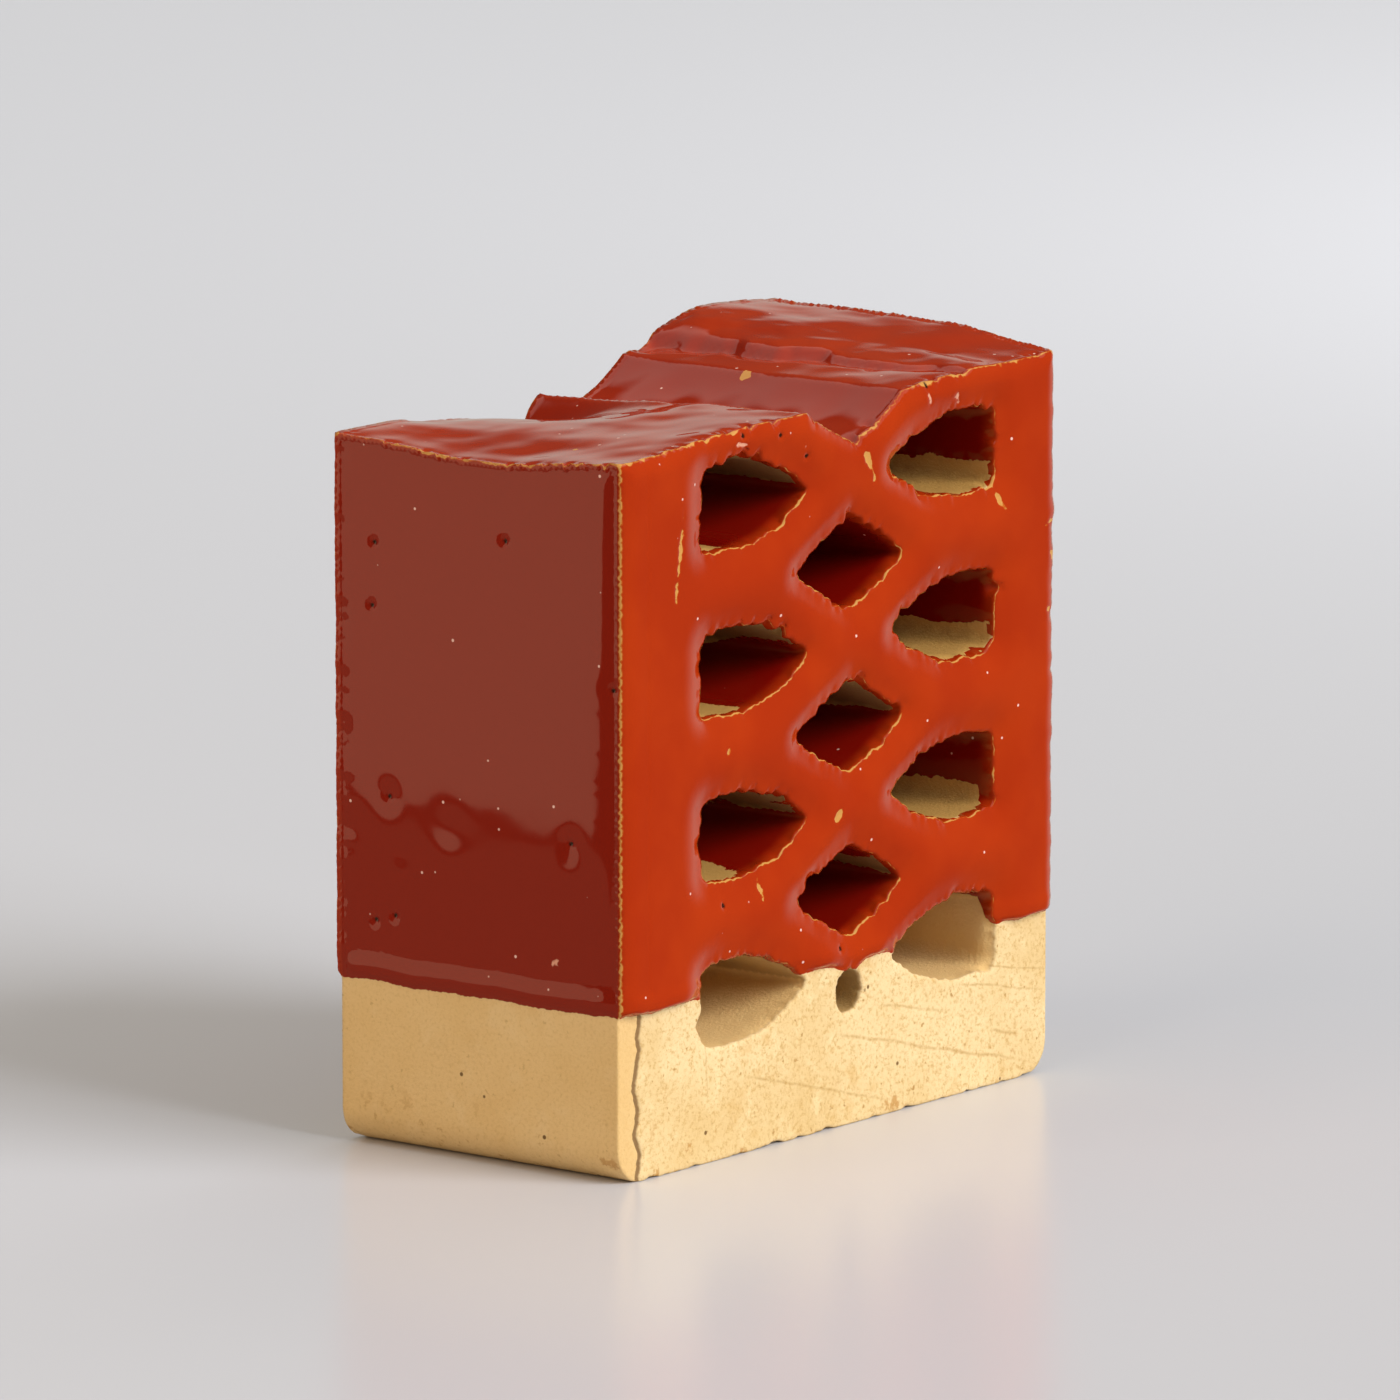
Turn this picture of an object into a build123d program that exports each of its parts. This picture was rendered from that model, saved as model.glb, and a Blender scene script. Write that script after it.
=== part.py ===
from build123d import *
import os

# Half of a perforated Waal-format brick, standing on its header with the break at the top.
# X is the width of the bed face, Y runs along the perforations, Z runs along the brick's length.
# Millimetres, with the origin at the middle of the standing face.

# Driving dimensions of the whole brick
BRICK_LENGTH = 210.0
BRICK_WIDTH = 100.0
BRICK_HEIGHT = 50.0
CORNER_RADIUS = 5.0

# The perforation pattern, which sits a little off the middle of the bed face
PATTERN_OFFSET = 2.7
ROW_PITCH = 23.5
TRIANGLE_ROWS = 4
DIAMOND_ROWS = 4
PATTERN_DROP = 0.4
PATTERN_TOP = BRICK_LENGTH / 2 - PATTERN_DROP
RIGHT_COLUMN_RISE = 0.8

# Triangular holes, given from the pattern's middle line outward
TRIANGLE_POINT = 9.6
TRIANGLE_FLAT = 34.2
TRIANGLE_FLAT_HEIGHT = 10.6
TRIANGLE_BULGE = 2.9
TRIANGLE_CORNER_RADIUS = 1.7
TRIANGLE_POINT_RADIUS = 0.7

# Diamond holes on the middle line
DIAMOND_WIDTH = 25.0
DIAMOND_HEIGHT = 12.8
DIAMOND_BULGE = 0.6
DIAMOND_SIDE_RADIUS = 0.7
DIAMOND_TOP_RADIUS = 1.4

# Small core slot below the lowest diamond
SLOT_WIDTH = 5.8
SLOT_HEIGHT = 6.2
SLOT_RADIUS = 2.5
SLOT_LEVEL = 19.5

# The break across the middle of the brick: a mean level and the relief about it
BREAK_DROP = 2.5
BREAK_LEVEL = BRICK_LENGTH / 2 - BREAK_DROP
BREAK_RELIEF = 7.0
BREAK_X_SHARES = (-1.1, -0.8, -0.56, -0.36, -0.22, -0.1, 0.06, 0.28, 0.44, 0.64, 0.86, 1.1)
BREAK_Y_SHARES = (-1.2, -0.56, 0.0, 0.48, 0.8, 1.2)
# One row for each Y share from the front bed face to the back one, in shares of the relief
BREAK_RISE_SHARES = (
    (-0.21, 0.01, 0.09, 0.10, 0.14, 0.16, 0.20, 0.24, 0.31, 0.36, 0.39, 0.43),
    (-0.33, -0.19, -0.03, 0.06, 0.11, 0.11, 0.16, 0.24, 0.33, 0.41, 0.56, 0.73),
    (-0.44, -0.31, -0.14, -0.07, -0.03, 0.03, 0.10, 0.24, 0.37, 0.58, 0.75, 0.85),
    (-0.30, -0.29, -0.24, -0.30, -0.44, -0.10, 0.01, 0.24, 0.43, 0.77, 0.86, 0.88),
    (-0.26, -0.21, -0.29, -0.50, -0.81, -0.21, -0.07, 0.24, 0.50, 0.89, 0.92, 0.86),
    (-0.36, -0.14, -0.27, -0.60, -0.93, -0.30, -0.13, 0.24, 0.54, 0.95, 0.94, 0.79),
)

os.makedirs("parts", exist_ok=True)

# How far a cutter runs past the faces it cuts
CUT_MARGIN = BRICK_HEIGHT / 5
BED_PLANE = Plane.XZ.offset(-BRICK_HEIGHT / 2 - CUT_MARGIN)
CUT_DEPTH = BRICK_HEIGHT + 2 * CUT_MARGIN


def bowed(start, end, bulge):
    """A shallow arc from start to end, standing out to the left of the line between them."""
    chord = Vector(*end) - Vector(*start)
    middle = (Vector(*start) + Vector(*end)) / 2
    outward = Vector(-chord.Y, chord.X).normalized()
    return ThreePointArc(start, middle + outward * bulge, end)


def triangle_outline():
    """A hole with its point towards the middle line and its flat side towards the stretcher face."""
    point = (TRIANGLE_POINT, 0)
    top = (TRIANGLE_FLAT, TRIANGLE_FLAT_HEIGHT / 2)
    bottom = (TRIANGLE_FLAT, -TRIANGLE_FLAT_HEIGHT / 2)
    sides = [bowed(point, top, TRIANGLE_BULGE), Line(top, bottom), bowed(bottom, point, TRIANGLE_BULGE)]
    outline = make_face(Curve() + sides)
    corners = outline.vertices().sort_by(Axis.X)
    outline = fillet(corners[1:], TRIANGLE_CORNER_RADIUS)
    return fillet(outline.vertices().sort_by(Axis.X)[0], TRIANGLE_POINT_RADIUS)


def diamond_outline():
    """A hole with four slightly bowed sides."""
    left = (-DIAMOND_WIDTH / 2, 0)
    top = (0, DIAMOND_HEIGHT / 2)
    right = (DIAMOND_WIDTH / 2, 0)
    bottom = (0, -DIAMOND_HEIGHT / 2)
    turns = [(left, top), (top, right), (right, bottom), (bottom, left)]
    outline = make_face(Curve() + [bowed(start, end, DIAMOND_BULGE) for start, end in turns])
    by_height = outline.vertices().sort_by(Axis.Y)
    outline = fillet([by_height[0], by_height[-1]], DIAMOND_TOP_RADIUS)
    by_side = outline.vertices().sort_by(Axis.X)
    return fillet([by_side[0], by_side[-1]], DIAMOND_SIDE_RADIUS)


def perforation(outline, across, level):
    """The outline placed on the bed face and run right through the brick."""
    placed = BED_PLANE * Pos(across, level) * outline
    return extrude(placed, amount=CUT_DEPTH, dir=(0, -1, 0))


def break_profile(y_share, rises):
    """One cut through the fracture, closed well above the brick."""
    across = [x_share * BRICK_WIDTH / 2 for x_share in BREAK_X_SHARES]
    points = [(x, BREAK_LEVEL + rise * BREAK_RELIEF) for x, rise in zip(across, rises)]
    lid = [points[-1], (across[-1], 2 * BRICK_LENGTH), (across[0], 2 * BRICK_LENGTH), points[0]]
    outline = make_face(Curve() + [Spline(points), Polyline(lid)])
    return Plane.XZ.offset(-y_share * BRICK_HEIGHT / 2) * outline


def break_cutter():
    """Everything above the fracture, lofted through its profiles from front to back."""
    return loft([break_profile(*row) for row in zip(BREAK_Y_SHARES, BREAK_RISE_SHARES)])


# The pressed column of clay: a header with rounded corners, cut square at the two bed faces
section = Pos(0, BRICK_LENGTH / 2) * Rectangle(BRICK_WIDTH, BRICK_LENGTH)
section = fillet(section.vertices(), CORNER_RADIUS)
column_plane = Plane.XZ.offset(-BRICK_HEIGHT / 2)
brick = extrude(column_plane * section, amount=BRICK_HEIGHT, dir=(0, -1, 0))

triangle = triangle_outline()
holes = []
for row in range(TRIANGLE_ROWS):
    level = PATTERN_TOP - (row + 1 / 2) * ROW_PITCH
    holes.append(perforation(triangle, PATTERN_OFFSET, level + RIGHT_COLUMN_RISE))
    holes.append(perforation(mirror(triangle, Plane.YZ), PATTERN_OFFSET, level))

diamond = diamond_outline()
for row in range(DIAMOND_ROWS):
    holes.append(perforation(diamond, PATTERN_OFFSET, PATTERN_TOP - row * ROW_PITCH))

slot = RectangleRounded(SLOT_WIDTH, SLOT_HEIGHT, SLOT_RADIUS)
holes.append(perforation(slot, PATTERN_OFFSET, SLOT_LEVEL))

brick = brick - holes
brick = brick - break_cutter()

export_step(brick, "parts/brick.step")
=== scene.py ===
import math

import bmesh
import bpy
import numpy as np
from mathutils import Matrix, Vector, noise
from mathutils.bvhtree import BVHTree
from mathutils.geometry import delaunay_2d_cdt
from mathutils.kdtree import KDTree


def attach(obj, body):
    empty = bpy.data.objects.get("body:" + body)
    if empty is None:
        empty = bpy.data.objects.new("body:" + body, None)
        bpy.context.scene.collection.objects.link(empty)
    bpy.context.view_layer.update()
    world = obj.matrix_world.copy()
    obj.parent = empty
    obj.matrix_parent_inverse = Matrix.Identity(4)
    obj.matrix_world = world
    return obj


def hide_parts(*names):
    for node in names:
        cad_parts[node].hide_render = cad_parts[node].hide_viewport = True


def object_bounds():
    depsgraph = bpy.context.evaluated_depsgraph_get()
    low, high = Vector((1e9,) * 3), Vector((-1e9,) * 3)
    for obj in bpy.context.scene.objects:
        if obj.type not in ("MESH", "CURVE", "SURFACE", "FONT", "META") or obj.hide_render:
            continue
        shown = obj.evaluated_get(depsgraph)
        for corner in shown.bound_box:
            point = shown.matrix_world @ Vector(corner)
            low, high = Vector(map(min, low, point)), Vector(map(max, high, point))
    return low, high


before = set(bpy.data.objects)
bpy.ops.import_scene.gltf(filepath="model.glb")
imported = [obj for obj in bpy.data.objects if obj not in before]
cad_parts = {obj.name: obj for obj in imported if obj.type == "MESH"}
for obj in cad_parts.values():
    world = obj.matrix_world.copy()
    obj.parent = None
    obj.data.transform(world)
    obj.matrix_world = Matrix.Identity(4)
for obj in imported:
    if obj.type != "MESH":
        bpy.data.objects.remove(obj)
cad_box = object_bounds()

# The mesh is worked out in millimetres and turned into metres at the end
PER_METRE = 1000.0
left_x, front_y = (PER_METRE * value for value in cad_box[0][:2])
WELD_GAP, SAME_PLANE, SAME_POINT, TINY = 1e-4, 0.01, 1e-6, 1e-12

# Patches of the CAD mesh end where its faces turn by more than this angle
PATCH_ANGLE = math.radians(45)
# A bed face's mean normal is nearly a unit along Y, and the normals of a hole's wall nearly cancel out
BED_NORMAL, HOLE_NORMAL = 0.99, 0.1
# Spacing of points along the patch borders
BORDER_STEP = 0.45
# Rows that fill the patches: their spacing, and between which distances from a border they lie
FILL_LEVELS = ((0.42, 0.32, 1.0), (0.8, 1.0, 3.0), (1.9, 3.0, 200.0))
FILL_LEAST, BREAK_FILL = 0.33, 1.5
OUTLINE_REACH, LEAST_AREA, INSIDE_BATCH = 100.0, 1e-4, 2000
# The band about the edge of the glaze that also gets close points
DIP_LEVEL = 23.7
DIP_MIDDLE, DIP_BAND = 24.3, 1.0

# Marks on the front bed face: chips that show the clay and nicks that the glaze paints pale pink as a painted
# glint, each from one place (x, z) to another with a half width, pinholes, and the seam beside the left arris
CHIPS = (
    ((-37.0, 94.0), (-39.0, 81.0), 0.15),
    ((4.6, 96.4), (6.8, 92.8), 0.4),
    ((-1.6, 45.0), (-1.2, 45.8), 0.45),
    ((-19.0, 39.0), (-18.6, 35.0), 0.15),
    ((-27.0, 58.0), (-26.8, 58.8), 0.25),
    ((36.2, 87.4), (38.0, 84.3), 0.2),
    ((47.4, 80.8), (50.0, 81.4), 0.15),
    ((49.2, 76.6), (49.6, 75.2), 0.4),
    ((48.2, 69.3), (48.4, 68.6), 0.4),
)
NICKS = (
    ((-23.6, 101.4), (-22.2, 101.0), 0.35),
    ((-9.2, 99.2), (-8.8, 98.6), 0.25),
    ((27.3, 101.8), (27.7, 100.9), 0.3),
    ((19.8, 103.2), (20.2, 102.0), 0.2),
)
BED_PINHOLES = ((0.0, 26.0), (-27.5, 36.5), (-22.6, 102.3), (-14.6, 101.5), (-8.4, 97.8), (19.6, 104.2))
SEAM = (
    (-45.8, -1.0), (-46.0, 0.4), (-45.4, 1.7), (-45.1, 3.8), (-46.3, 6.5), (-45.4, 10.0), (-46.5, 13.1),
    (-45.3, 18.6), (-45.8, 20.4), (-45.0, 24.0), (-45.2, 110.0),
)
# Marks on the break: chips that show the clay (x, y, z, radius), and a shallow dimple (x, y, radii, depth)
BREAK_CHIPS = ((14.1, 2.2, 103.8, 0.9), (-39.9, -9.3, 100.8, 0.4))
BREAK_DIMPLE = (37.6, -14.7, 1.2, 2.2, 0.35)
# Marks on the left face: dimples with a place (y, z), a radius and a depth, pinholes, and a chip painted pale
# pink as a painted glint
DIMPLES = (
    (5.0, 47.3, 2.8, 0.030),
    (-16.5, 46.4, 2.2, 0.030),
    (16.0, 51.2, 2.2, 0.030),
    (24.0, 46.0, 2.6, 0.040),
    (14.0, 42.6, 2.0, 0.020),
    (17.5, 38.2, 2.2, 0.015),
)
SIDE_PINHOLES = (
    (18.5, 86.5), (19.0, 77.5), (-5.0, 89.0), (-24.0, 70.0),
    (16.0, 50.6), (18.5, 32.7), (15.0, 33.7), (-16.5, 47.6),
)
SIDE_CHIP = (-14.0, 30.3)
# How near to a mark the surface gets close points, and how many points stand for a line and a ring
MARK_REACH, LINE_POINTS, RING_POINTS = 0.9, 20, 12


def search_tree(places):
    tree = KDTree(len(places))
    for index, place in enumerate(places):
        tree.insert(place, index)
    tree.balance()
    return tree


def mark_tree():
    """A search tree of points along all the marks."""
    found = []
    for (start_x, start_z), (end_x, end_z), _ in CHIPS + NICKS:
        for share in np.linspace(0.0, 1.0, LINE_POINTS):
            found.append((start_x + share * (end_x - start_x), front_y, start_z + share * (end_z - start_z)))
    found += [(x, front_y, z) for x, z in BED_PINHOLES]
    heights = np.arange(SEAM[0][1], SEAM[-1][1], MARK_REACH)
    found += [(x, front_y, z) for x, z in zip(np.interp(heights, *np.array(SEAM).T[::-1]), heights)]
    found += [(left_x, y, z) for y, z in SIDE_PINHOLES + (SIDE_CHIP,)]
    found += [(x, y, z) for x, y, z, _ in BREAK_CHIPS]
    for y, z, radius, _ in DIMPLES:
        for turn in np.linspace(0.0, math.tau, RING_POINTS):
            found.append((left_x, y + radius * math.cos(turn) / 2, z + radius * math.sin(turn) / 2))
    return search_tree(found)


marks = mark_tree()


def named_patch(faces):
    """The patch's name, from the mean normal of its faces."""
    area = sum(face.calc_area() for face in faces)
    mean = sum((face.normal * face.calc_area() for face in faces), Vector()) / area
    if mean.y < -BED_NORMAL:
        return "front"
    if mean.y > BED_NORMAL:
        return "back"
    if mean.length < HOLE_NORMAL:
        return "hole"
    return "outer" if mean.z < 0 else "top"


def cad_patches(node):
    """The welded CAD mesh in millimetres, and the patch of each of its faces."""
    bm = bmesh.new()
    bm.from_mesh(node.data)
    bm.transform(Matrix.Scale(PER_METRE, 4))
    bmesh.ops.remove_doubles(bm, verts=bm.verts, dist=WELD_GAP)
    bm.normal_update()
    bm.verts.ensure_lookup_table()
    bm.faces.ensure_lookup_table()
    patch = {}
    holes = 0
    for seed in bm.faces:
        if seed.index in patch:
            continue
        group, queue = {seed}, [seed]
        while queue:
            for edge in queue.pop().edges:
                if edge.calc_face_angle() < PATCH_ANGLE:
                    fresh = set(edge.link_faces) - group
                    group |= fresh
                    queue.extend(fresh)
        name = named_patch(group)
        if name == "hole":
            name = f"hole{holes}"
            holes += 1
        for face in group:
            patch[face.index] = name
    return bm, patch


def border_chains(bm, patch):
    """Lines of vertices between two patches. A hole's rims break at its lowest point, where it is slit."""
    links = {}
    for edge in bm.edges:
        pair = frozenset(patch[face.index] for face in edge.link_faces)
        if len(pair) == 2:
            a, b = (vert.index for vert in edge.verts)
            links.setdefault(a, {})[b] = pair
            links.setdefault(b, {})[a] = pair
    slits = {}
    for index, near in links.items():
        for pair in near.values():
            for hole in (name for name in pair if name.startswith("hole")):
                for bed in pair & {"front", "back"}:
                    low = slits.get((hole, bed), index)
                    slits[hole, bed] = min(low, index, key=lambda i: bm.verts[i].co.z)
    corners = {i for i, near in links.items() if len(near) != 2 or len(set(near.values())) > 1}
    corners |= set(slits.values())
    chains, walked = [], set()
    for start in sorted(corners):
        for step, pair in links[start].items():
            if (start, step) in walked:
                continue
            line = [start, step]
            while line[-1] not in corners:
                line.append(next(i for i in links[line[-1]] if i != line[-2]))
            walked |= {(line[0], line[1]), (line[-1], line[-2])}
            chains.append((pair, line))
    return chains, slits


def resampled(line, step):
    """Evenly spaced points along a line of points, ends included."""
    line = np.array(line, float)
    run = np.concatenate([[0.0], np.cumsum(np.linalg.norm(np.diff(line, axis=0), axis=1))])
    places = np.linspace(0.0, run[-1], max(2, round(run[-1] / step)) + 1)
    return np.stack([np.interp(places, run, line[:, axis]) for axis in range(line.shape[1])], 1)


def along(outline, run, places):
    """How far along the outline the nearest point to each place lies."""
    start, step = outline[:-1], np.diff(outline, axis=0)
    reach = places[:, None, :] - start[None]
    share = np.clip((reach * step).sum(2) / np.maximum((step ** 2).sum(1), TINY), 0.0, 1.0)
    gap = np.linalg.norm(reach - share[..., None] * step, axis=2)
    best = gap.argmin(1)
    return run[best] + share[np.arange(len(places)), best] * np.linalg.norm(step, axis=1)[best]


def inside(places, segments):
    """Which places lie inside the closed outline that the segments make, by counting crossings."""
    found = []
    (ax, ay), (bx, by) = segments[:, 0].T, segments[:, 1].T
    for part in np.array_split(places, max(1, len(places) // INSIDE_BATCH)):
        x, y = part[:, :1], part[:, 1:]
        crossed = (ay > y) != (by > y)
        at = ax + (y - ay) * (bx - ax) / np.where(by == ay, 1.0, by - ay)
        found.append((crossed & (x < at)).sum(1) % 2 == 1)
    return np.concatenate(found)


def from_detail(places):
    """How far each place lies outside the parts of the surface that need close points."""
    from_dip = np.abs(places[:, 2] - DIP_MIDDLE) - DIP_BAND
    from_mark = np.array([marks.find(place)[2] for place in places]) - MARK_REACH
    return np.maximum(np.minimum(from_dip, from_mark), FILL_LEAST)


def fill_places(border, segments, lift, furthest_gap):
    """Staggered rows of points inside the outline: close near its border, the glaze's edge and marks."""
    tree = search_tree([(u, v, 0.0) for u, v in border])
    low, high = border.min(0), border.max(0)
    chosen = []
    for step, nearest_gap, furthest in FILL_LEVELS:
        rows = np.arange(low[1], high[1], step * math.sqrt(3) / 2)
        columns = np.arange(low[0], high[0], step)
        shifted = columns[None, :] + np.where(np.arange(len(rows)) % 2, step / 2, 0.0)[:, None]
        grid = np.stack([shifted, np.broadcast_to(rows[:, None], shifted.shape)], 2).reshape(-1, 2)
        gap = np.array([tree.find((u, v, 0.0))[2] for u, v in grid])
        close = np.minimum(from_detail(lift(grid)), furthest_gap)
        gap = np.where(gap > FILL_LEAST, np.minimum(gap, close), gap)
        grid = grid[(gap > nearest_gap) & (gap <= furthest)]
        if len(grid):
            chosen.append(grid[inside(grid, segments)])
    return np.concatenate(chosen)


class Skin:
    """The brick's surface as one closed mesh of fine triangles, patch by patch."""

    def __init__(self, node):
        self.points, self.triangles, self.owner = [], [], []
        bm, patch = cad_patches(node)
        chains, slits = border_chains(bm, patch)
        self.corner_ids = {}
        self.chains = []
        for pair, line in chains:
            self.add_chain(pair, [bm.verts[i].co for i in line], line[0], line[-1])
        self.slits = {}
        for hole in sorted({name for name in patch.values() if name.startswith("hole")}):
            front, back = slits[hole, "front"], slits[hole, "back"]
            self.add_chain({hole}, [bm.verts[front].co, bm.verts[back].co], front, back)
            self.slits[hole] = self.chains.pop()[1]
            for index in self.slits[hole][1:-1]:
                self.owner[index] = hole
        top_faces = [[v.index for v in face.verts] for face in bm.faces if patch[face.index] == "top"]
        self.top_tree = BVHTree.FromPolygons([v.co for v in bm.verts], top_faces)
        self.top_z = max(v.co.z for v in bm.verts)
        self.bed_y = {"front": min(v.co.y for v in bm.verts), "back": max(v.co.y for v in bm.verts)}
        bm.free()
        for name in sorted(set(patch.values())):
            if name.startswith("hole") or name == "outer":
                self.fill_tube(name)
            else:
                self.fill_flat(name)

    def add_point(self, place, owner):
        self.points.append(tuple(place))
        self.owner.append(owner)
        return len(self.points) - 1

    def corner(self, index, place):
        if index not in self.corner_ids:
            self.corner_ids[index] = self.add_point(place, "border")
        return self.corner_ids[index]

    def add_chain(self, pair, line, first, last):
        places = resampled(line, BORDER_STEP)
        middle = [self.add_point(place, "border") for place in places[1:-1]]
        ids = [self.corner(first, places[0]), *middle, self.corner(last, places[-1])]
        self.chains.append((set(pair), ids))

    def of_patch(self, name):
        return [ids for pair, ids in self.chains if name in pair]

    def stitch(self, name, flat, ids, pairs, lift):
        """Triangulates one flattened patch and adds its triangles to the mesh."""
        flat = np.array(flat)
        segments = flat[np.array(pairs)]
        seeds = fill_places(flat, segments, lift, BREAK_FILL if name == "top" else math.inf)
        ids = list(ids) + [self.add_point(place, name) for place in lift(seeds)]
        places = [Vector(place) for place in np.concatenate([flat, seeds])]
        corners, _, faces, origin, _, _ = delaunay_2d_cdt(places, pairs, [], 0, SAME_POINT)
        shapes = np.array([[corners[i] for i in face] for face in faces])
        (ux, uy), (vx, vy) = (shapes[:, 1] - shapes[:, 0]).T, (shapes[:, 2] - shapes[:, 0]).T
        kept = inside(shapes.mean(1), segments) & (np.abs(ux * vy - uy * vx) > LEAST_AREA)
        for face in np.array(faces)[kept]:
            self.triangles.append([ids[origin[i][0]] for i in face])

    def fill_flat(self, name):
        """A bed face, flat in X and Z, or the break, which is a height over X and Y."""
        axes = (0, 1) if name == "top" else (0, 2)
        flat, ids, pairs, known = [], [], [], {}
        for chain in self.of_patch(name):
            for i in chain:
                if i not in known:
                    known[i] = len(ids)
                    ids.append(i)
                    flat.append([self.points[i][axis] for axis in axes])
            pairs += [(known[a], known[b]) for a, b in zip(chain, chain[1:])]

        def lift(grid):
            u, v = grid.T
            if name != "top":
                return np.stack([u, np.full(len(u), self.bed_y[name]), v], 1)
            hits = [self.top_tree.ray_cast((a, b, 2 * self.top_z), (0, 0, -1))[0] for a, b in grid]
            return np.stack([u, v, [hit.z if hit else self.top_z for hit in hits]], 1)

        self.stitch(name, flat, ids, pairs, lift)

    def fill_tube(self, name):
        """A hole's wall, slit at its lowest point, or the strip round the brick: flat in run and Y."""
        front = [ids for pair, ids in self.chains if pair == {name, "front"}][0]
        outline = np.array([self.points[i] for i in front])[:, [0, 2]]
        if name == "outer":
            rise = np.array([0.0, OUTLINE_REACH])
            outline = np.concatenate([outline[:1] + rise, outline, outline[-1:] + rise])
        run = np.concatenate([[0.0], np.cumsum(np.linalg.norm(np.diff(outline, axis=0), axis=1))])
        flat, ids, pairs, known = [], [], [], {}
        for chain in self.of_patch(name):
            places = np.array([self.points[i] for i in chain])
            runs = along(outline, run, places[:, [0, 2]])
            if name != "outer":
                for end, beside in ((0, 1), (-1, -2)):
                    if chain[end] in (self.slits[name][0], self.slits[name][-1]):
                        runs[end] = 0.0 if runs[beside] < run[-1] / 2 else run[-1]
            self.join(chain, runs, places[:, 1], flat, ids, pairs, known)
        if name != "outer":
            slit = self.slits[name]
            depths = [self.points[i][1] for i in slit]
            for side in (0.0, run[-1]):
                self.join(slit, [side] * len(slit), depths, flat, ids, pairs, known)

        def lift(grid):
            u, v = grid.T
            return np.stack([np.interp(u, run, outline[:, 0]), v, np.interp(u, run, outline[:, 1])], 1)

        self.stitch(name, flat, ids, pairs, lift)

    @staticmethod
    def join(chain, runs, depths, flat, ids, pairs, known):
        """Adds a chain to a tube's outline, where a point of the slit stands twice."""
        keys = [(i, round(float(run), 3)) for i, run in zip(chain, runs)]
        for key, run, depth in zip(keys, runs, depths):
            if key not in known:
                known[key] = len(ids)
                ids.append(key[0])
                flat.append([float(run), float(depth)])
        pairs += [(known[a], known[b]) for a, b in zip(keys, keys[1:])]


skin = Skin(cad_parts["brick"])
rest = np.array(skin.points)
triangles = np.array(skin.triangles)
owner = np.array(skin.owner)

# Fractal noise: how fast its octaves weaken and shrink, and how far a seed shifts it
NOISE_FADE, NOISE_SHRINK = 0.8, 2.1
SEED_STEPS = (17.3, 5.1, 9.7)


def fractal(places, size, seed, octaves):
    """Smooth seeded noise of about -1 to 1 with features of the given size."""
    shift = Vector([seed * step for step in SEED_STEPS])
    spots = [Vector(place) / size + shift for place in places]
    return np.array([noise.fractal(spot, NOISE_FADE, NOISE_SHRINK, octaves) for spot in spots])


def smooth_step(low, high, value):
    share = np.clip((value - low) / (high - low), 0.0, 1.0)
    return share * share * (3 - 2 * share)


def falloff(gap, width):
    """A bump: 1 where there is no gap, and next to nothing from two widths on."""
    return np.exp(-((gap / width) ** 2))


def decay(gap, width):
    """1 where there is no gap, falling steeply at first."""
    return np.exp(-gap / width)


def nearest(lines, places):
    """For each place, which of the lines' points is nearest, and how far off the line is there."""
    ends = rest[np.concatenate(lines)]
    ways = np.concatenate([np.gradient(rest[line], axis=0) for line in lines])
    ways /= np.linalg.norm(ways, axis=1, keepdims=True)
    tree = search_tree(ends)
    near = np.array([tree.find(place)[1] for place in places])
    offset = places - ends[near]
    run = np.clip((offset * ways[near]).sum(1, keepdims=True), -BORDER_STEP, BORDER_STEP)
    return near, np.linalg.norm(offset - run * ways[near], axis=1)


def line_gap(places, start, end):
    """Distance of flat places from the straight line between two others."""
    start, step = np.array(start), np.subtract(end, start)
    share = np.clip((places - start) @ step / (step @ step), 0.0, 1.0)
    return np.linalg.norm(places - start - share[:, None] * step, axis=1)


def vertex_normals(places):
    """Area-weighted normals of the skin's points."""
    a, b, c = (places[triangles[:, i]] for i in range(3))
    across = np.cross(b - a, c - a)
    normals = np.zeros_like(places)
    for i in range(3):
        np.add.at(normals, triangles[:, i], across)
    return normals / np.linalg.norm(normals, axis=1, keepdims=True)


def oriented():
    """The triangles wound so that they all face outward."""
    bm = bmesh.new()
    verts = [bm.verts.new(p) for p in rest]
    for corners in triangles:
        bm.faces.new([verts[i] for i in corners])
    bmesh.ops.recalc_face_normals(bm, faces=bm.faces)
    bm.verts.index_update()
    wound = np.array([[v.index for v in face.verts] for face in bm.faces])
    bm.free()
    return wound


triangles = oriented()
hole_centres, hole_rims = {}, {}
rim_lines, rim_out = [], []
for pair, ids in skin.chains:
    hole = next((name for name in pair if name.startswith("hole")), None)
    if hole and pair & {"front", "back"}:
        line = rest[ids][:, [0, 2]]
        if hole not in hole_centres:
            hole_centres[hole] = (line.min(0) + line.max(0)) / 2
        tangent = np.gradient(line, axis=0)
        out = np.stack([tangent[:, 1], -tangent[:, 0]], 1)
        out /= np.linalg.norm(out, axis=1, keepdims=True)
        flip = np.sign(((line - hole_centres[hole]) * out).sum(1, keepdims=True))
        rim_lines.append(ids)
        hole_rims.setdefault(hole, []).append(ids)
        rim_out.append(out * flip)
rim_out = np.concatenate(rim_out)
top_lines = [ids for pair, ids in skin.chains if "top" in pair]
corner_lines = [ids for pair, ids in skin.chains if "outer" in pair and pair & {"front", "back"}]
rim_places = rest[np.concatenate(rim_lines)]
top_places = rest[np.concatenate(top_lines)]
corner_places = rest[np.concatenate(corner_lines)]

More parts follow.
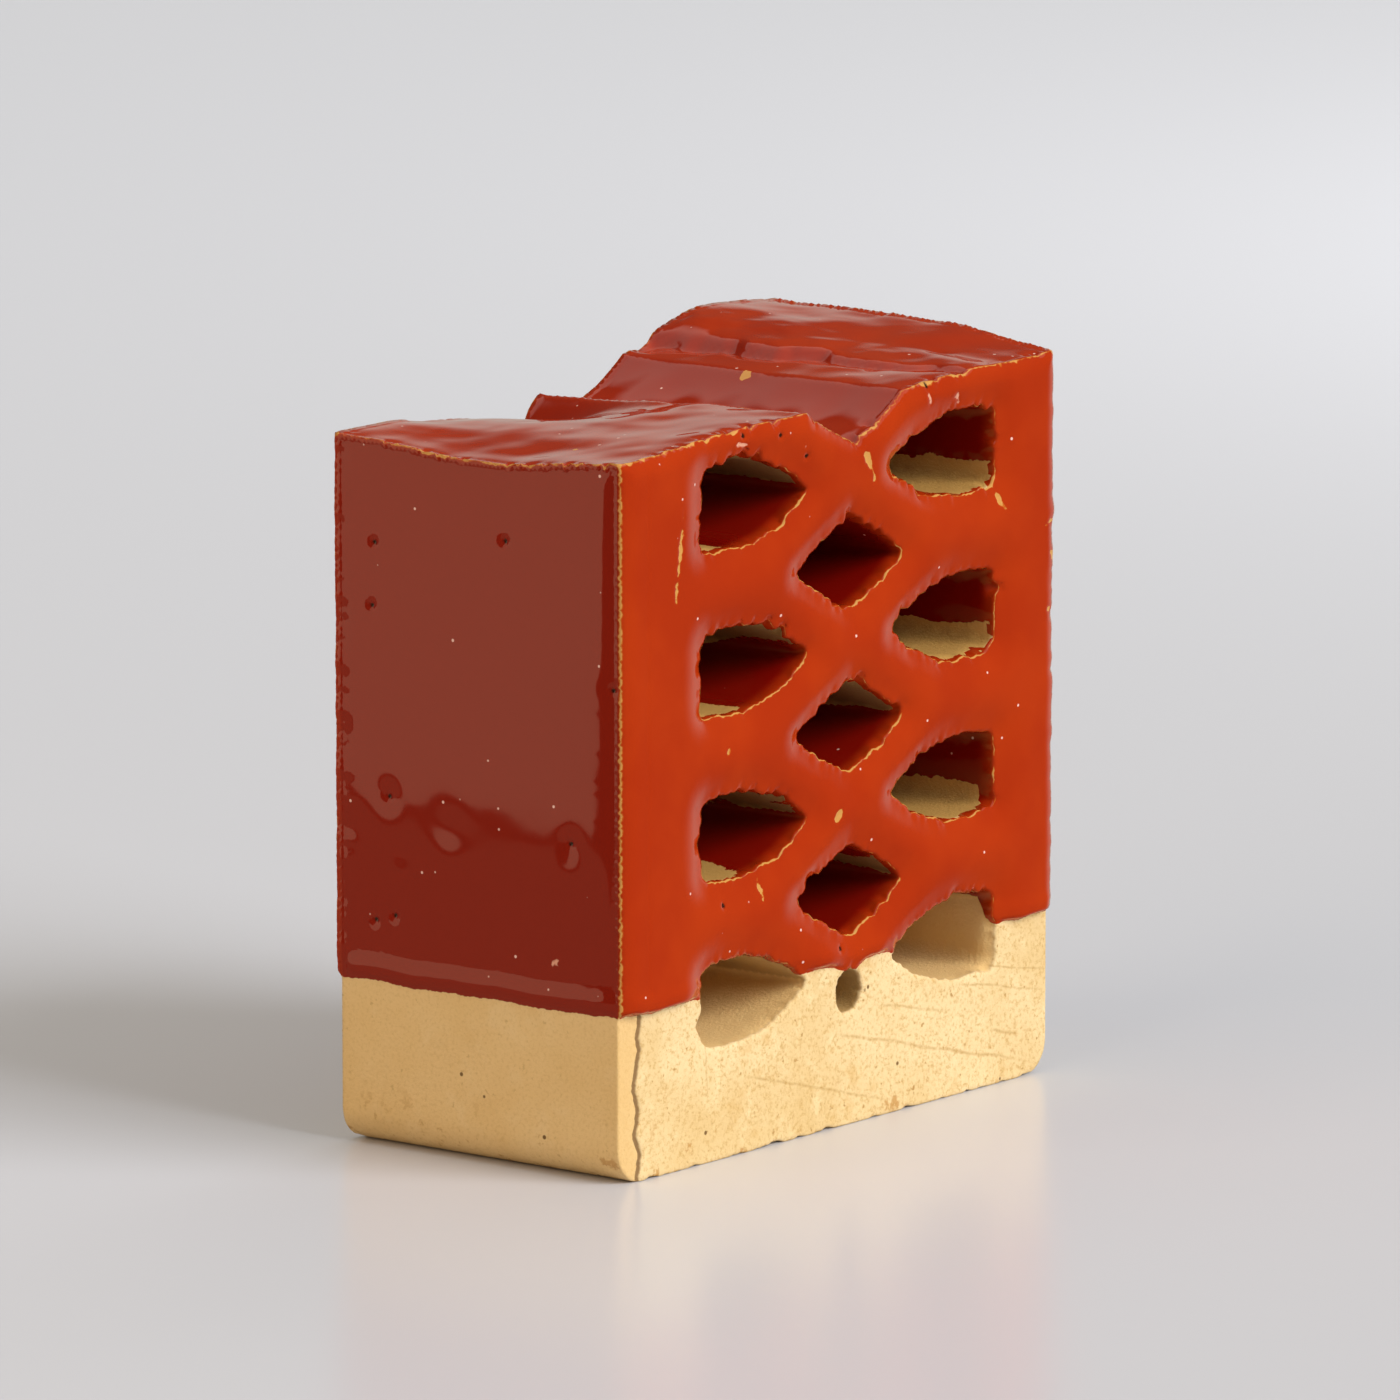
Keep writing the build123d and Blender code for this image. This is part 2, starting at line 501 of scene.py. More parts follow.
places = rest.copy()
rim_near, rim_gap = nearest(rim_lines, rest)
top_near, top_gap = nearest(top_lines, rest)
corner_near, corner_gap = nearest(corner_lines, rest)
_, arris_gap = nearest([ids for _, ids in skin.chains], rest)
x, y, z = rest.T
flat_rest = rest * np.array([1.0, 1.0, 0.0])
on_top = owner == "top"
on_front = np.abs(y - front_y) < SAME_PLANE
on_left = np.abs(x - left_x) < SAME_PLANE
in_hole = np.array([name.startswith("hole") for name in owner])
bed = (owner == "front") | (owner == "back") | (owner == "border")

# Torn hole rims: ragged all round, and dragged out a little more at their upper sides
RIM_RAGGED, RIM_RAGGED_SIZE = 0.55, 1.3
RIM_TEAR, RIM_TEAR_SIZE, RIM_TEAR_LEAST = 1.7, 4.5, 0.15
RIM_SHARE, RIM_UPPER_SHARE, RIM_FADE = 0.90, 0.10, 1.4
tear = np.maximum(0.0, fractal(rim_places, RIM_TEAR_SIZE, seed=1, octaves=3) - RIM_TEAR_LEAST)
ragged = RIM_RAGGED * fractal(rim_places, RIM_RAGGED_SIZE, seed=2, octaves=4) + RIM_TEAR * tear
ragged *= RIM_SHARE + RIM_UPPER_SHARE * rim_out[:, 1]
push = ragged[rim_near] * falloff(rim_gap, RIM_FADE)
places[:, [0, 2]] += rim_out[rim_near] * push[:, None]

# The break: rough, with a broken ledge (x, y) at the foot of its high side that is higher towards the back
BREAK_ROUGH, BREAK_ROUGH_SIZE, BREAK_FADE = 0.40, 13.0, 1.2
LEDGE = ((20.9, 26.0), (22.0, 17.0), (23.4, 5.6), (25.2, -6.1), (27.7, -17.1), (29.5, -26.0))
LEDGE_WANDER, LEDGE_WANDER_SIZE = 2.0, 9.0
LEDGE_RISE, LEDGE_FACE, LEDGE_CREST, LEDGE_END = 1.3, 0.9, 1.5, 13.0
LEDGE_FOOT, LEDGE_FOOT_OUT, LEDGE_FOOT_WIDTH = 0.7, 1.4, 1.1
LEDGE_MEAN_SHARE, LEDGE_BROKEN_SHARE, LEDGE_BROKEN_SIZE = 0.80, 0.35, 8.0
LEDGE_FRONT_SHARE, LEDGE_FRONT_Y, LEDGE_BACK_Y = 0.35, -18.0, 15.0
rough = BREAK_ROUGH * fractal(flat_rest, BREAK_ROUGH_SIZE, seed=3, octaves=2)
ledge_xs, ledge_ys = np.array(LEDGE).T
from_ledge = x - np.interp(-y, -ledge_ys, ledge_xs)
from_ledge += LEDGE_WANDER * fractal(flat_rest, LEDGE_WANDER_SIZE, seed=8, octaves=3)
broken = LEDGE_MEAN_SHARE + LEDGE_BROKEN_SHARE * fractal(flat_rest, LEDGE_BROKEN_SIZE, seed=16, octaves=2)
step_up = smooth_step(-LEDGE_FACE, LEDGE_FACE, from_ledge)
step_up *= 1 - smooth_step(LEDGE_CREST, LEDGE_END, from_ledge)
backward = LEDGE_FRONT_SHARE + (1 - LEDGE_FRONT_SHARE) * smooth_step(LEDGE_FRONT_Y, LEDGE_BACK_Y, y)
rough += LEDGE_RISE * broken * step_up * backward
rough -= LEDGE_FOOT * broken * falloff(from_ledge + LEDGE_FOOT_OUT, LEDGE_FOOT_WIDTH)
dimple_x, dimple_y, dimple_wide, dimple_long, dimple_deep = BREAK_DIMPLE
rough -= dimple_deep * falloff(np.hypot((x - dimple_x) / dimple_wide, (y - dimple_y) / dimple_long), 1.0)
places[:, 2] += rough * np.where(on_top, 1.0, decay(top_gap, BREAK_FADE))

# Chips along the break's front and left edges, which fade out towards its back and right ones
BREAK_CHIP, BREAK_CHIP_SIZE, BREAK_CHIP_LEAST = 1.3, 2.6, 0.2
SHELTER_SHARE, SHELTER_Y, SHELTER_X = 0.85, (5.0, 20.0), (44.0, 49.0)
forward = 1 - SHELTER_SHARE * np.maximum(smooth_step(*SHELTER_Y, y), smooth_step(*SHELTER_X, x))
chip = np.maximum(0.0, fractal(top_places, BREAK_CHIP_SIZE, seed=4, octaves=3) - BREAK_CHIP_LEAST)
places[:, 2] -= BREAK_CHIP * (chip[top_near] * forward) * falloff(top_gap, BREAK_FADE)

# Uneven glaze along the right arrises, less so along the back left one, and chips along the foot
ARRIS_RAGGED, ARRIS_RAGGED_SIZE, ARRIS_FADE = 0.5, 3.0, 1.6
BACK_LEFT_SHARE = -0.35
FOOT_CHIP, FOOT_CHIP_SIZE, FOOT_CHIP_LEAST, FOOT_FADE, FOOT_LEVEL = 1.0, 4.2, 0.05, 0.9, 0.5
far = np.where(x > 0, 1.0, np.where(y > 0, BACK_LEFT_SHARE, 0.0)) * (z > DIP_LEVEL)
uneven = ARRIS_RAGGED * fractal(corner_places, ARRIS_RAGGED_SIZE, seed=14, octaves=3)[corner_near]
places[:, 0] += far * uneven * falloff(corner_gap, ARRIS_FADE)
foot_chip = np.maximum(0.0, fractal(corner_places, FOOT_CHIP_SIZE, seed=15, octaves=3) - FOOT_CHIP_LEAST)
foot_chip = (foot_chip * (corner_places[:, 2] < FOOT_LEVEL))[corner_near]
places[:, 2] += FOOT_CHIP * foot_chip * falloff(corner_gap, FOOT_FADE)

# How far each point lies above the edge of the glaze, which drips on the front and is higher in the holes
DIP_WANDER, DIP_WANDER_SIZE = 0.40, 7.0
DRIP_X, DRIP_DROP, DRIP_WIDTH = 3.0, 1.4, 2.6
HOLE_RISE, HOLE_RISE_DEPTHS = 4.0, (0.5, 3.0)
dip = DIP_LEVEL + DIP_WANDER * fractal(flat_rest, DIP_WANDER_SIZE, seed=5, octaves=2)
dip -= DRIP_DROP * on_front * falloff(x - DRIP_X, DRIP_WIDTH)
depth = -front_y - np.abs(y)
above = z - dip - HOLE_RISE * in_hole * smooth_step(*HOLE_RISE_DEPTHS, depth)

# Columns and rows of holes are told apart by their centres
SIDE_COLUMN, TOP_ROW = 15.0, 75.0
# Bare patches inside the holes: a stain of noise, leaning by where it lies in the hole, behind a glazed lip
GLAZED_SCORE = -1.0
STAIN_STRETCH, STAIN_SIZE, STAIN_SHARE = np.array([1.0, 0.5, 1.2]), 11.0, 0.9
LIP_DEPTH, LIP_VARIES = 0.9, 0.8
RIGHT_LIP_DEPTH, RIGHT_LIP_VARIES, RIGHT_LIP_SIZE = 1.4, 2.0, 4.0
RIGHT_SLOPE, RIGHT_LEVEL, RIGHT_SOFTNESS = 0.06, 4.0, 2.2
CORNER_LEAN, LEFT_LEAST, DIAMOND_LEAST = 0.035, 0.35, 0.5


def bare_score(near, centre_x, centre_z, depths):
    """Above zero where a wall is bare: low in the right holes, in two corners of most others."""
    dx, dz = near[:, 0] - centre_x, near[:, 2] - centre_z
    stain = fractal(near * STAIN_STRETCH, STAIN_SIZE, seed=6, octaves=3)
    lip_depth = LIP_DEPTH + LIP_VARIES * stain
    if centre_x > SIDE_COLUMN:
        lean = (RIGHT_SLOPE * dx - RIGHT_LEVEL - dz) / RIGHT_SOFTNESS
        lip_depth = RIGHT_LIP_DEPTH + RIGHT_LIP_VARIES * fractal(near, RIGHT_LIP_SIZE, seed=17, octaves=3)
    elif centre_x > -SIDE_COLUMN and centre_z > TOP_ROW:
        lean = GLAZED_SCORE
    else:
        lean = CORNER_LEAN * dx * dz - (DIAMOND_LEAST if centre_x > -SIDE_COLUMN else LEFT_LEAST)
    return np.where(depths > lip_depth, stain * STAIN_SHARE + lean, GLAZED_SCORE)


# Painted shade and brown inside the holes, by the turn of the wall: the bare clay is painted darkest on the
# roofs of the glazed holes, which face down, as painted shade, and a darker brown on their floors and in the
# slots below the glaze
ROOF_TURN, FLOOR_TURN, BROWN_SHADE_RISE = (0.15, 0.6), (0.1, 0.6), 4.0
LOW_ROOF_SHARE, FLOOR_SHARE, SLOT_SHARE = 0.5, 0.38, 0.55
upward = vertex_normals(rest)[:, 2]
high = in_hole * smooth_step(0.0, BROWN_SHADE_RISE, above)
brown_and_shade = smooth_step(*ROOF_TURN, -upward) * (LOW_ROOF_SHARE * in_hole + (1 - LOW_ROOF_SHARE) * high)
brown_and_shade = np.maximum(brown_and_shade, FLOOR_SHARE * high * smooth_step(*FLOOR_TURN, upward))
bare = np.full(len(rest), GLAZED_SCORE)
for hole, (centre_x, centre_z) in hole_centres.items():
    part = owner == hole
    bare[part] = bare_score(rest[part], centre_x, centre_z, depth[part])
    if abs(centre_x) < SIDE_COLUMN and centre_z < DIP_LEVEL:
        brown_and_shade[part] = SLOT_SHARE

# How far a point takes the outer faces' colours: wholly on them, and in part where the break turns left. In
# the glaze this paints shade, a darker red on the outer faces and the left-facing slopes; in the clay it
# gives the outer faces' tint and weaker grain
LEFT_SHADE_TURN, LEFT_SHADE_SHARE = (0.05, 0.55), 0.8
outward = vertex_normals(places)
side = np.where(owner == "outer", 1.0, LEFT_SHADE_SHARE * on_top * smooth_step(*LEFT_SHADE_TURN, -outward[:, 0]))

# Glaze thickness: a pillow on the bed faces, thin at the arrises, with a bead along its lower edge
GLAZE_START, HOLE_GLAZE_SHARE = 0.7, 0.4
GLAZE_LIP, GLAZE_LIP_ROUND = 0.22, 0.7
GLAZE_BED, GLAZE_BED_ROUND = 1.25, 3.4
GLAZE_SIDE, GLAZE_SIDE_ROUND = 0.22, 0.8
CORNER_DROP, CORNER_ROUND = 0.45, 1.3
BED_WAVE, SIDE_WAVE, WAVE_SIZE, WAVE_START = 0.10, 0.012, 10.0, 2.0
BEAD_RISE, BEAD_ABOVE, BEAD_WIDTH = 0.22, 1.9, 1.2
glazed = smooth_step(0.0, GLAZE_START, above)
lip = GLAZE_LIP * (1 - decay(arris_gap, GLAZE_LIP_ROUND))
lip -= CORNER_DROP * falloff(np.minimum(corner_gap, top_gap), CORNER_ROUND)
crown = np.ones(bed.sum())
for lines in hole_rims.values():
    _, gap = nearest(lines, rest[bed])
    crown *= 1 - falloff(gap, GLAZE_BED_ROUND)
pillow = GLAZE_SIDE * (1 - decay(arris_gap, GLAZE_SIDE_ROUND))
pillow[bed] = lip[bed] + GLAZE_BED * crown
bead = BEAD_RISE * falloff(above - BEAD_ABOVE, BEAD_WIDTH)
wave = np.where(bed, BED_WAVE, SIDE_WAVE) * fractal(rest, WAVE_SIZE, seed=7, octaves=2)
thickness = glazed * (pillow + (bead + wave) * smooth_step(0.0, WAVE_START, arris_gap))
thickness[in_hole] *= HOLE_GLAZE_SHARE
places += outward * thickness[:, None]

# Worn glaze along the arrises, in millimetres past the edge of the wear
RIM_WEAR_UPPER, RIM_WEAR_VARIES, RIM_WEAR_SIZE = 0.10, 0.22, 2.2
CORNER_WEAR, BACK_CORNER_WEAR, CORNER_WEAR_VARIES, CORNER_WEAR_SIZE = 0.10, -0.05, 0.05, 3.0
EDGE_WEAR, EDGE_WEAR_VARIES, EDGE_WEAR_SIZE = 0.02, 0.55, 2.2
worn = rim_gap + RIM_WEAR_UPPER * rim_out[rim_near, 1]
worn -= RIM_WEAR_VARIES * fractal(rest, RIM_WEAR_SIZE, seed=9, octaves=2)
corner_wear = np.where(y < 0, CORNER_WEAR, BACK_CORNER_WEAR)
corner_wear += CORNER_WEAR_VARIES * fractal(rest, CORNER_WEAR_SIZE, seed=10, octaves=2)
worn = np.minimum(worn, corner_gap - corner_wear)
edge_wear = EDGE_WEAR + EDGE_WEAR_VARIES * np.maximum(0.0, fractal(rest, EDGE_WEAR_SIZE, seed=11, octaves=3))
worn = np.minimum(worn, top_gap - edge_wear * forward)

# Chips that show the clay, and nicks, likewise; the glaze paints the nicks pale pink as a painted glint
MARK_SIZE, FACE_MARK_VARIES, BREAK_MARK_VARIES = 1.6, 0.6, 0.7
SIDE_CHIP_RADIUS, SIDE_CHIP_VARIES, SIDE_CHIP_SIZE = 0.6, 0.9, 1.2
FAR_OFF = 9.0
CHIP_DEPTH, CHIP_EDGE, CHIP_ARRIS_GAP = 0.20, (-0.3, 0.2), 1.0
mark_noise = fractal(rest, MARK_SIZE, seed=12, octaves=3)
for across, along_y, _, radius in BREAK_CHIPS:
    gap = np.hypot(x - across, y - along_y) - radius + BREAK_MARK_VARIES * mark_noise
    worn[on_top] = np.minimum(worn, gap)[on_top]
nick = np.full(len(rest), FAR_OFF)
for marks_of_kind, score in ((CHIPS, worn), (NICKS, nick)):
    for start, end, half_width in marks_of_kind:
        gap = line_gap(rest[:, [0, 2]], start, end) - half_width + FACE_MARK_VARIES * mark_noise
        score[on_front] = np.minimum(score, gap)[on_front]
gap = np.hypot(y - SIDE_CHIP[0], z - SIDE_CHIP[1]) - SIDE_CHIP_RADIUS
gap += SIDE_CHIP_VARIES * fractal(rest, SIDE_CHIP_SIZE, seed=18, octaves=2)
nick[on_left] = np.minimum(nick, gap)[on_left]
recess = CHIP_DEPTH * (1 - smooth_step(*CHIP_EDGE, np.minimum(worn, nick))) * (arris_gap > CHIP_ARRIS_GAP)

# Pinholes and dimples, and the seam with the smooth strip beside it
PINHOLE_DEPTH, PINHOLE_RADIUS, DISH_DEPTH, DISH_RADIUS = 0.45, 0.42, 0.06, 1.3
SEAM_DEPTH, SEAM_WIDTH, SEAM_VARIES, SEAM_SIZE, SEAM_GLAZED_SHARE = 0.45, 0.35, 0.3, 1.8, 0.12
STRIP_DEPTH, STRIP_EDGE, STRIP_GLAZED_SHARE = 0.22, 0.3, 0.3
pinhole = np.zeros(len(rest))
for across, height in BED_PINHOLES:
    gap = np.hypot(x - across, z - height)
    pinhole = np.maximum(pinhole, on_front * falloff(gap, PINHOLE_RADIUS))
seam_xs, seam_zs = np.array(SEAM).T
from_seam = x - np.interp(z, seam_zs, seam_xs)
from_seam -= SEAM_VARIES * fractal(rest * np.array([0.0, 0.0, 1.0]), SEAM_SIZE, seed=13, octaves=3)
seam = falloff(from_seam, SEAM_WIDTH) * np.where(above < 0, 1.0, SEAM_GLAZED_SHARE)
strip = (1 - smooth_step(-STRIP_EDGE, STRIP_EDGE, from_seam)) * np.where(above < 0, 1.0, STRIP_GLAZED_SHARE)
places[:, 1] += on_front * (recess + PINHOLE_DEPTH * pinhole + SEAM_DEPTH * seam + STRIP_DEPTH * strip)
for along_y, height in SIDE_PINHOLES:
    gap = np.hypot(y - along_y, z - height)
    pinhole = np.maximum(pinhole, on_left * falloff(gap, PINHOLE_RADIUS))
    places[:, 0] += on_left * DISH_DEPTH * falloff(gap, DISH_RADIUS)
for along_y, height, radius, deep in DIMPLES:
    places[:, 0] += on_left * deep * falloff(np.hypot(y - along_y, z - height), radius)
places[:, 0] += on_left * PINHOLE_DEPTH * pinhole

# Softened arrises: points near them move towards the mean of their neighbours
SOFT_ARRIS, SOFT_SHARE = 0.75, 0.5
links = np.concatenate([triangles[:, [0, 1]], triangles[:, [1, 2]], triangles[:, [2, 0]]])
links = np.unique(np.sort(links, axis=1), axis=0)
count = np.bincount(links.ravel(), minlength=len(places))[:, None]
total = np.zeros_like(places)
np.add.at(total, links[:, 0], places[links[:, 1]])
np.add.at(total, links[:, 1], places[links[:, 0]])
softness = SOFT_SHARE * (1 - smooth_step(SOFT_ARRIS / 2, SOFT_ARRIS, arris_gap))[:, None]
places += softness * (total / count - places)
places[:, 2] = np.maximum(places[:, 2], 0.0)

mesh = bpy.data.meshes.new("brick_skin")
mesh.from_pydata((places / PER_METRE).tolist(), [], triangles.tolist())
mesh.shade_smooth()
# What the material reads at each point
READINGS = {
    "above": above,
    "worn": worn,
    "nick": nick,
    "bare": bare,
    "depth": depth * in_hole,
    "brown_and_shade": brown_and_shade,
    "pinhole": pinhole,
    "seam": seam * on_front,
    "strip": strip * on_front * (above < 0),
    "side": side,
}
for name, values in READINGS.items():
    mesh.attributes.new(name, "FLOAT", "POINT").data.foreach_set("value", values.astype(np.float32))
brick = bpy.data.objects.new("brick_skin", mesh)
bpy.context.scene.collection.objects.link(brick)
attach(brick, "root")
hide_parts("brick")


def add(tree, kind, inputs=None, **settings):
    """A node with its settings, and with each input set or linked."""
    made = tree.nodes.new(kind)
    for name, value in settings.items():
        setattr(made, name, value)
    for key, value in (inputs or {}).items():
        if isinstance(value, bpy.types.NodeSocket):
            tree.links.new(value, made.inputs[key])
        else:
            made.inputs[key].default_value = value
    return made


def math_node(tree, operation, *values):
    return add(tree, "ShaderNodeMath", dict(enumerate(values)), operation=operation).outputs[0]


def vector_node(tree, operation, first, second, output="Vector"):
    return add(tree, "ShaderNodeVectorMath", {0: first, 1: second}, operation=operation).outputs[output]


def height_of(tree, place):
    return add(tree, "ShaderNodeSeparateXYZ", {0: place}).outputs["Z"]


def ramp(tree, value, low, high, to_low=0.0, to_high=1.0):
    """A smooth change from one number to another as value goes from low to high."""
    inputs = {"Value": value, "From Min": low, "From Max": high, "To Min": to_low, "To Max": to_high}
    made = add(tree, "ShaderNodeMapRange", inputs, interpolation_type="SMOOTHSTEP")
    return made.outputs[0]


def mix(tree, share, first, second):
    made = add(tree, "ShaderNodeMix", {0: share, 6: first, 7: second}, data_type="RGBA")
    return made.outputs[2]


def attribute(tree, name):
    return add(tree, "ShaderNodeAttribute", attribute_name=name).outputs["Fac"]


def noise_node(tree, place, size, detail=3.0, rough=0.55):
    """Noise from 0 to 1 with features of the given size in millimetres."""
    inputs = {"Vector": place, "Scale": PER_METRE / size, "Detail": detail, "Roughness": rough}
    return add(tree, "ShaderNodeTexNoise", inputs).outputs["Fac"]


def wavered(tree, value, wander, reach):
    """The value, moved up or down by at most the given reach where the noise wanders."""
    return math_node(tree, "ADD", value, ramp(tree, wander, *WANDER_RANGE, -reach, reach))


def dots(tree, place, spacing, inner, outer):
    """Small round dots scattered at the given spacing in millimetres."""
    cells = add(tree, "ShaderNodeTexVoronoi", {"Vector": place, "Scale": PER_METRE / spacing})
    return ramp(tree, cells.outputs["Distance"], inner, outer, 1.0, 0.0)


def scratch(tree, place, start, end, width):
    """A thin wavering line between two places (x, z) in millimetres, which fades out at both ends."""
    origin = Vector((start[0], 0, start[1])) / PER_METRE
    line = Vector((end[0], 0, end[1])) / PER_METRE - origin
    length = line.length
    line.normalize()
    offset = vector_node(tree, "SUBTRACT", place, origin)
    run = vector_node(tree, "DOT_PRODUCT", offset, line, "Value")
    aside = vector_node(tree, "DOT_PRODUCT", offset, Vector((-line.z, 0, line.x)), "Value")
    aside = wavered(tree, aside, noise_node(tree, place, SCRATCH_WANDER_SIZE), width / 2 / PER_METRE)
    mask = ramp(tree, math_node(tree, "ABSOLUTE", aside), 0.0, width / PER_METRE, 1.0, 0.0)
    mask = math_node(tree, "MULTIPLY", mask, ramp(tree, run, 0.0, SCRATCH_START_SHARE * length))
    return math_node(tree, "MULTIPLY", mask, ramp(tree, run, SCRATCH_END_SHARE * length, length, 1.0, 0.0))


def new_material(name):
    made = bpy.data.materials.new(name)
    made.use_nodes = True
    tree = made.node_tree
    shader = tree.nodes["Principled BSDF"]
    return made, tree, shader


# Where noise from 0 to 1 does most of its wandering, and where its clouds lie
WANDER_RANGE, CLOUD_RANGE = (0.3, 0.7), (0.35, 0.65)
# Scratches in the bare clay, from one place (x, z) to another with a width in millimetres
SCRATCHES = (
    ((-22.4, 11.2), (16.0, 1.2), 0.36),
    ((-1.3, 13.9), (51.0, 0.8), 0.40),
    ((28.0, 16.4), (50.0, 12.0), 0.30),
    ((35.0, 17.9), (51.0, 14.8), 0.26),
    ((10.0, 16.2), (28.0, 12.2), 0.34),
    ((36.4, 8.2), (44.0, 6.5), 0.40),
    ((-30.7, 19.0), (-29.9, 8.0), 0.22),
)
SCRATCH_WANDER_SIZE, SCRATCH_START_SHARE, SCRATCH_END_SHARE = 9.0, 0.1, 0.7
SCRATCH_RANGE, SCRATCH_STRENGTHS, SCRATCH_COLOUR = (0.3, 0.6), (0.15, 0.6), (0.46, 0.27, 0.08, 1)

# Clay in linear colours: two for its clouds, one for the outer faces, and three for inside the holes, the
# last a dark brown that paints shade on the hole roofs
CLOUD_SIZE, CLAY_COLOURS = 22.0, ((0.69, 0.485, 0.22, 1), (0.77, 0.575, 0.30, 1))
OUTER_STRENGTH, OUTER_COLOUR = 0.6, (0.80, 0.52, 0.20, 1)
HOLE_LOW_COLOUR, HOLE_HIGH_COLOUR = (0.81, 0.55, 0.23, 1), (0.68, 0.395, 0.11, 1)
HOLE_SHADE_BROWN = (0.22, 0.105, 0.012, 1)
HOLE_RANGE, HOLE_DEPTHS, HOLE_STRENGTH = (-1.0, 1.0), (0.1, 0.9), 0.95
# Layers of noise over the clay: size in millimetres, detail, roughness, range, strength and colour. They are
# weaker on the outer faces, which were not cut
CLAY_LAYERS = {
    "chalk": (6.0, 5.0, 0.65, (0.50, 0.72), 0.55, (0.84, 0.66, 0.37, 1)),
    "grain": (0.55, 3.0, 0.7, (0.46, 0.72), 0.85, (0.54, 0.32, 0.10, 1)),
    "stain": (7.0, 6.0, 0.65, (0.55, 0.75), 0.6, (0.58, 0.33, 0.09, 1)),
    "speck": (1.1, 2.0, 0.5, (0.69, 0.76), 0.8, (0.40, 0.21, 0.055, 1)),
}
UNCUT_SHARE = 0.35
# Rust near the foot, up to a height in millimetres, likewise, and small dark pores at a spacing
RUST_RISE = 12.0
RUST_LAYER = (4.0, 4.0, 0.7, (0.60, 0.68), 0.75, (0.47, 0.22, 0.045, 1))
PORE_SPACING, PORE_RADII, PORE_COLOUR = 7.0, (0.035, 0.055), (0.20, 0.11, 0.035, 1)
# The seam and the strip beside it: range, strength and colour. The strip's darker colour is painted shade,
# where the corner turns between the faces
CLAY_MARKS = {
    "strip": ((0.2, 0.8), 0.7, (0.70, 0.44, 0.17, 1)),
    "seam": ((0.2, 0.7), 0.9, (0.22, 0.12, 0.045, 1)),
}


def layered(tree, place, clay, layer, mask):
    """The clay with one layer of noise over it, where the mask lets it show."""
    size, detail, rough, shows, strength, colour = layer
    share = ramp(tree, noise_node(tree, place, size, detail, rough), *shows, 0.0, strength)
    return mix(tree, math_node(tree, "MULTIPLY", share, mask), clay, colour)


def clay_colour(tree, place, fine):
    """Fired clay: pale yellow with grain, specks, stains and scratches, browner inside the holes, with
    painted shade on their roofs.
    """
    clay = mix(tree, ramp(tree, noise_node(tree, place, CLOUD_SIZE), *CLOUD_RANGE), *CLAY_COLOURS)
    outer = attribute(tree, "side")
    clay = mix(tree, ramp(tree, outer, 0.0, 1.0, 0.0, OUTER_STRENGTH), clay, OUTER_COLOUR)
    cut = ramp(tree, outer, 0.0, 1.0, 1.0, UNCUT_SHARE)
    for layer in CLAY_LAYERS.values():
        clay = layered(tree, place, clay, layer, cut)
    low = ramp(tree, height_of(tree, place), 0.0, RUST_RISE / PER_METRE, 1.0, 0.0)
    clay = layered(tree, place, clay, RUST_LAYER, low)
    clay = mix(tree, dots(tree, place, PORE_SPACING, *PORE_RADII), clay, PORE_COLOUR)
    lines = scratch(tree, place, *SCRATCHES[0])
    for ends_and_width in SCRATCHES[1:]:
        lines = math_node(tree, "MAXIMUM", lines, scratch(tree, place, *ends_and_width))
    lines = math_node(tree, "MULTIPLY", lines, ramp(tree, fine, *SCRATCH_RANGE, *SCRATCH_STRENGTHS))
    clay = mix(tree, lines, clay, SCRATCH_COLOUR)
    # Painted shade: the strip beside the seam is painted darker, as the shade of the turning corner; the seam
    # is a dark crack
    for name, (shows, strength, colour) in CLAY_MARKS.items():
        clay = mix(tree, ramp(tree, attribute(tree, name), *shows, 0.0, strength), clay, colour)
    inner = mix(tree, ramp(tree, attribute(tree, "above"), *HOLE_RANGE), HOLE_LOW_COLOUR, HOLE_HIGH_COLOUR)
    # Painted shade: the bare clay turns dark brown on the hole roofs that face down, less so on their floors
    # and in the slots
    inner = mix(tree, attribute(tree, "brown_and_shade"), inner, HOLE_SHADE_BROWN)
    return mix(tree, ramp(tree, attribute(tree, "depth"), *HOLE_DEPTHS, 0.0, HOLE_STRENGTH), clay, inner)


# Glaze in linear colours: two for its clouds, a darker one for the outer faces and one for deep in the holes,
# both painted shade
RED_CLOUD_SIZE, RED_COLOURS = 18.0, ((0.355, 0.025, 0.0025, 1), (0.395, 0.032, 0.0030, 1))
OUTER_SHADE_RED, HOLE_SHADE_RED, HOLE_SHADE_DEPTHS = (0.235, 0.0105, 0.0017, 1), (0.24, 0.004, 0.001, 1), (0.3, 3.0)
# Pale grains at a spacing in millimetres, thin glaze in two steps, nicks painted pale pink as a painted
# glint, and pinholes painted near black as painted shade
PALE_SPACING, PALE_RADII, PALE_COLOUR = 4.6, (0.035, 0.06), (0.80, 0.50, 0.42, 1)
THIN_STEPS = (((0.05, 0.45), (0.46, 0.11, 0.014, 1)), ((0.45, 0.9), (0.56, 0.27, 0.062, 1)))
NICK_GLINT_RANGE, NICK_GLINT_COLOUR = (-0.15, 0.1), (0.72, 0.34, 0.22, 1)
PINHOLE_SHADE_RANGE, PINHOLE_SHADE_COLOUR = (0.3, 0.7), (0.03, 0.008, 0.003, 1)


